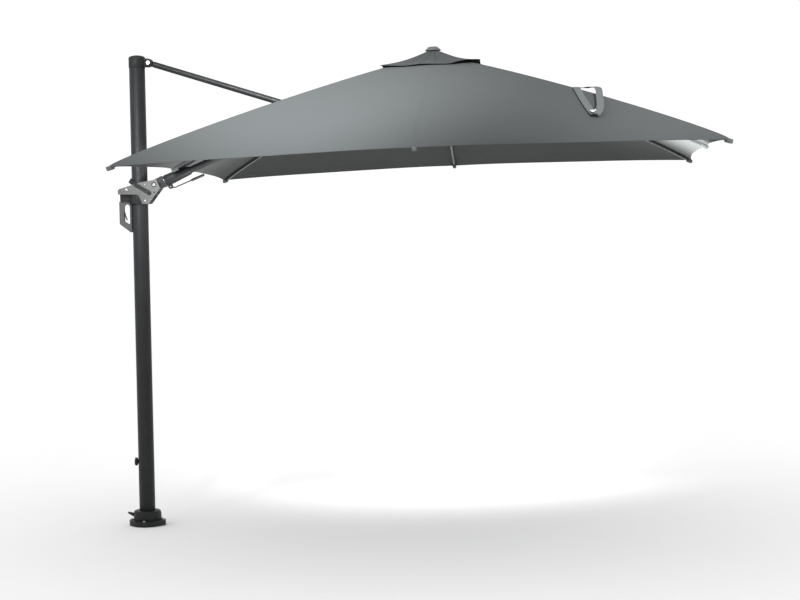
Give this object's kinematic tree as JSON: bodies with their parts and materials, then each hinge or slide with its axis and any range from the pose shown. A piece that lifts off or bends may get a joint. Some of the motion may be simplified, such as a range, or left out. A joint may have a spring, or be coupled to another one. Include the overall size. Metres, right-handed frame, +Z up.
{
  "type": "cantilever parasol",
  "caption": "Cantilever garden parasol with a swivelling mast, a slider with a D-handle, a boom and strut that fold, and a square canopy on sprung-out ribs.",
  "frame": {"origin": "on the mast's axis at the underside of the foot flange, where it rests on its base", "axes": "+Z up along the mast, +X from the mast towards the middle of the canopy"},
  "size_m": [3.3148, 3, 2.6785],
  "materials": {
    "graphite": "powder coat, satin",
    "dark_casting": "powder coat, matt",
    "speckled_grey": "textured powder coat",
    "black_plastic": "matt moulded",
    "grip_plastic": "fine-grained moulded",
    "steel": "zinc plated",
    "rib_alloy": "dark anodised",
    "cloth": "woven canopy cloth, matt"
  },
  "bodies": {
    "base": {"foot_flange": "dark_casting", "swivel_housing": "dark_casting", "swivel_bearing": "steel", "pedal_pin": "steel"},
    "pedal": {"foot_pedal": "dark_casting"},
    "mast": {"mast_tube": "graphite", "mast_spigot": "steel", "index_ring": "steel", "mast_cap": "dark_casting", "strut_bolt": "steel"},
    "knob": {"lock_knob": "black_plastic"},
    "slider": {"slider_body": "dark_casting", "slide_bush_lower": "black_plastic", "slide_bush_upper": "black_plastic", "cheek_near": "speckled_grey", "cheek_far": "speckled_grey", "handle_grip": "grip_plastic", "trigger_pin": "steel"},
    "trigger_bar": {"trigger": "black_plastic"},
    "plunger": {"brake_plunger": "steel"},
    "bail_strap": {"bail": "dark_casting"},
    "strut": {"strut_tube": "graphite", "strut_fork": "dark_casting"},
    "carrier": {"knuckle_block": "dark_casting", "knuckle_pin": "steel", "boom_collar": "dark_casting"},
    "boom": {"boom_sleeve": "dark_casting", "boom_tube": "graphite", "lever_pin": "steel"},
    "lever": {"roll_lever": "black_plastic"},
    "roll_plunger": {"index_plunger": "steel"},
    "hub": {"crown_hub": "rib_alloy", "crown_pin": "steel", "finial": "grip_plastic", "vent_cap": "cloth"},
    "runner_body": {"runner": "black_plastic"},
    "rib_body_right": {"rib_right": "rib_alloy", "canopy_right": "cloth"},
    "stretcher_body_right": {"stretcher_right": "rib_alloy"},
    "rib_body_far_right": {"rib_far_right": "rib_alloy", "canopy_far_right": "cloth"},
    "stretcher_body_far_right": {"stretcher_far_right": "rib_alloy"},
    "rib_body_far": {"rib_far": "rib_alloy", "canopy_far": "cloth"},
    "stretcher_body_far": {"stretcher_far": "rib_alloy"},
    "rib_body_far_left": {"rib_far_left": "rib_alloy", "canopy_far_left": "cloth"},
    "stretcher_body_far_left": {"stretcher_far_left": "rib_alloy"},
    "rib_body_left": {"rib_left": "rib_alloy", "canopy_left": "cloth"},
    "stretcher_body_left": {"stretcher_left": "rib_alloy"},
    "rib_body_near_left": {"rib_near_left": "rib_alloy", "canopy_near_left": "cloth"},
    "stretcher_body_near_left": {"stretcher_near_left": "rib_alloy"},
    "rib_body_near": {"rib_near": "rib_alloy", "canopy_near": "cloth"},
    "stretcher_body_near": {"stretcher_near": "rib_alloy"},
    "rib_body_near_right": {"rib_near_right": "rib_alloy", "canopy_near_right": "cloth"},
    "stretcher_body_near_right": {"stretcher_near_right": "rib_alloy"}
  },
  "joints": [
    {"name": "foot_swivel", "type": "hinge", "parent": "base", "child": "mast", "pos_m": [0, 0, 0.0356], "axis": [0, 0, 1], "continuous": true},
    {"name": "pedal_tilt", "type": "hinge", "parent": "base", "child": "pedal", "pos_m": [-0.0715, 0, 0.0575], "axis": [0, -1, 0], "range_deg": [-8, 12], "stiffness_Nm_per_rad": 2},
    {"name": "knob_turn", "type": "hinge", "parent": "mast", "child": "knob", "pos_m": [-0.05, 0, 0.364], "axis": [-1, 0, 0], "continuous": true},
    {"name": "slider_travel", "type": "slide", "parent": "mast", "child": "slider", "axis": [0, 0, -1], "range_m": [0, 1.2786]},
    {"name": "trigger_pull", "type": "hinge", "parent": "slider", "child": "trigger_bar", "pos_m": [-0.0985, 0, 1.7925], "axis": [0, 1, 0], "range_deg": [0, 10], "stiffness_Nm_per_rad": 0.4, "springref_deg": -11.46},
    {"name": "brake_release", "type": "slide", "parent": "slider", "child": "plunger", "axis": [-1, 0, 0], "range_m": [0, 0.004]},
    {"name": "bail_press", "type": "hinge", "parent": "slider", "child": "bail_strap", "pos_m": [0.068, 0, 1.894], "axis": [0, -1, 0], "range_deg": [0, 8], "stiffness_Nm_per_rad": 4, "springref_deg": -20.05},
    {"name": "strut_swing", "type": "hinge", "parent": "mast", "child": "strut", "pos_m": [0.0681, 0, 2.6302], "axis": [0, 1, 0], "range_deg": [0, 57.66]},
    {"name": "carrier_swing", "type": "hinge", "parent": "strut", "child": "carrier", "pos_m": [1.03375, 0, 2.32009], "axis": [0, -1, 0], "range_deg": [0, 112.66]},
    {"name": "boom_roll", "type": "hinge", "parent": "carrier", "child": "boom", "pos_m": [1.03375, 0, 2.32009], "axis": [0.9272, 0, 0.3745], "range_deg": [-12, 12]},
    {"name": "lever_squeeze", "type": "hinge", "parent": "boom", "child": "lever", "pos_m": [0.17938, 0, 1.92864], "axis": [0, -1, 0], "range_deg": [0, 7], "stiffness_Nm_per_rad": 0.8, "springref_deg": -14.32},
    {"name": "index_release", "type": "slide", "parent": "boom", "child": "roll_plunger", "axis": [0.9272, 0, 0.3745], "range_m": [0, 0.004]},
    {"name": "hub_level", "type": "hinge", "parent": "boom", "child": "hub", "pos_m": [1.6847, 0, 2.583], "axis": [0, 1, 0], "range_deg": [0, 55.03], "deforming": ["vent_cap"]},
    {"name": "runner_drop", "type": "slide", "parent": "hub", "child": "runner_body", "axis": [0.0225, 0, -0.9997], "range_m": [0, 0.64289]},
    {"name": "rib_fold_right", "type": "hinge", "parent": "hub", "child": "rib_body_right", "pos_m": [1.75968, 0, 2.58469], "axis": [0, 1, 0], "range_deg": [0, 63.42], "deforming": ["canopy_right"]},
    {"name": "stretcher_fold_right", "type": "hinge", "parent": "rib_body_right", "child": "stretcher_body_right", "pos_m": [2.23156, 0, 2.41935], "axis": [0, -1, 0], "range_deg": [0, 126.82]},
    {"name": "rib_fold_far_right", "type": "hinge", "parent": "hub", "child": "rib_body_far_right", "pos_m": [1.73772, 0.05303, 2.58419], "axis": [-0.7069, 0.7071, -0.0159], "range_deg": [0, 68.57], "deforming": ["canopy_far_right"]},
    {"name": "stretcher_fold_far_right", "type": "hinge", "parent": "rib_body_far_right", "child": "stretcher_body_far_right", "pos_m": [2.04107, 0.35382, 2.47344], "axis": [0.7069, -0.7071, 0.0159], "range_deg": [0, 137.12]},
    {"name": "rib_fold_far", "type": "hinge", "parent": "hub", "child": "rib_body_far", "pos_m": [1.6847, 0.075, 2.583], "axis": [-0.9997, 0, -0.0225], "range_deg": [0, 63.42], "deforming": ["canopy_far"]},
    {"name": "stretcher_fold_far", "type": "hinge", "parent": "rib_body_far", "child": "stretcher_body_far", "pos_m": [1.68866, 0.54303, 2.40713], "axis": [0.9997, 0, 0.0225], "range_deg": [0, 126.82]},
    {"name": "rib_fold_far_left", "type": "hinge", "parent": "hub", "child": "rib_body_far_left", "pos_m": [1.63168, 0.05303, 2.58181], "axis": [-0.7069, -0.7071, -0.0159], "range_deg": [0, 68.57], "deforming": ["canopy_far_left"]},
    {"name": "stretcher_fold_far_left", "type": "hinge", "parent": "rib_body_far_left", "child": "stretcher_body_far_left", "pos_m": [1.33362, 0.35382, 2.45751], "axis": [0.7069, 0.7071, 0.0159], "range_deg": [0, 137.12]},
    {"name": "rib_fold_left", "type": "hinge", "parent": "hub", "child": "rib_body_left", "pos_m": [1.60972, 0, 2.58131], "axis": [0, -1, 0], "range_deg": [0, 63.42], "deforming": ["canopy_left"]},
    {"name": "stretcher_fold_left", "type": "hinge", "parent": "rib_body_left", "child": "stretcher_body_left", "pos_m": [1.14577, 0, 2.39491], "axis": [0, 1, 0], "range_deg": [0, 126.82]},
    {"name": "rib_fold_near_left", "type": "hinge", "parent": "hub", "child": "rib_body_near_left", "pos_m": [1.63168, -0.05303, 2.58181], "axis": [0.7069, -0.7071, 0.0159], "range_deg": [0, 68.57], "deforming": ["canopy_near_left"]},
    {"name": "stretcher_fold_near_left", "type": "hinge", "parent": "rib_body_near_left", "child": "stretcher_body_near_left", "pos_m": [1.33362, -0.35382, 2.45751], "axis": [-0.7069, 0.7071, -0.0159], "range_deg": [0, 137.12]},
    {"name": "rib_fold_near", "type": "hinge", "parent": "hub", "child": "rib_body_near", "pos_m": [1.6847, -0.075, 2.583], "axis": [0.9997, 0, 0.0225], "range_deg": [0, 63.42], "deforming": ["canopy_near"]},
    {"name": "stretcher_fold_near", "type": "hinge", "parent": "rib_body_near", "child": "stretcher_body_near", "pos_m": [1.68866, -0.54303, 2.40713], "axis": [-0.9997, 0, -0.0225], "range_deg": [0, 126.82]},
    {"name": "rib_fold_near_right", "type": "hinge", "parent": "hub", "child": "rib_body_near_right", "pos_m": [1.73772, -0.05303, 2.58419], "axis": [0.7069, 0.7071, 0.0159], "range_deg": [0, 68.57], "deforming": ["canopy_near_right"]},
    {"name": "stretcher_fold_near_right", "type": "hinge", "parent": "rib_body_near_right", "child": "stretcher_body_near_right", "pos_m": [2.04107, -0.35382, 2.47344], "axis": [-0.7069, -0.7071, -0.0159], "range_deg": [0, 137.12]}
  ],
  "couplings": [
    {"joint": "brake_release", "follows": "trigger_pull", "m_per_rad": 0.022918},
    {"joint": "strut_swing", "follows": "slider_travel", "rad_per_m": 0.78677},
    {"joint": "carrier_swing", "follows": "slider_travel", "rad_per_m": 1.5376},
    {"joint": "index_release", "follows": "lever_squeeze", "m_per_rad": 0.03274},
    {"joint": "hub_level", "follows": "slider_travel", "rad_per_m": 0.75086},
    {"joint": "runner_drop", "follows": "slider_travel", "ratio": 0.50265},
    {"joint": "rib_fold_right", "follows": "slider_travel", "rad_per_m": 0.86544},
    {"joint": "stretcher_fold_right", "follows": "slider_travel", "rad_per_m": 1.7309},
    {"joint": "rib_fold_far_right", "follows": "slider_travel", "rad_per_m": 0.93575},
    {"joint": "stretcher_fold_far_right", "follows": "slider_travel", "rad_per_m": 1.8715},
    {"joint": "rib_fold_far", "follows": "slider_travel", "rad_per_m": 0.86544},
    {"joint": "stretcher_fold_far", "follows": "slider_travel", "rad_per_m": 1.7309},
    {"joint": "rib_fold_far_left", "follows": "slider_travel", "rad_per_m": 0.93575},
    {"joint": "stretcher_fold_far_left", "follows": "slider_travel", "rad_per_m": 1.8715},
    {"joint": "rib_fold_left", "follows": "slider_travel", "rad_per_m": 0.86544},
    {"joint": "stretcher_fold_left", "follows": "slider_travel", "rad_per_m": 1.7309},
    {"joint": "rib_fold_near_left", "follows": "slider_travel", "rad_per_m": 0.93575},
    {"joint": "stretcher_fold_near_left", "follows": "slider_travel", "rad_per_m": 1.8715},
    {"joint": "rib_fold_near", "follows": "slider_travel", "rad_per_m": 0.86544},
    {"joint": "stretcher_fold_near", "follows": "slider_travel", "rad_per_m": 1.7309},
    {"joint": "rib_fold_near_right", "follows": "slider_travel", "rad_per_m": 0.93575},
    {"joint": "stretcher_fold_near_right", "follows": "slider_travel", "rad_per_m": 1.8715}
  ]
}
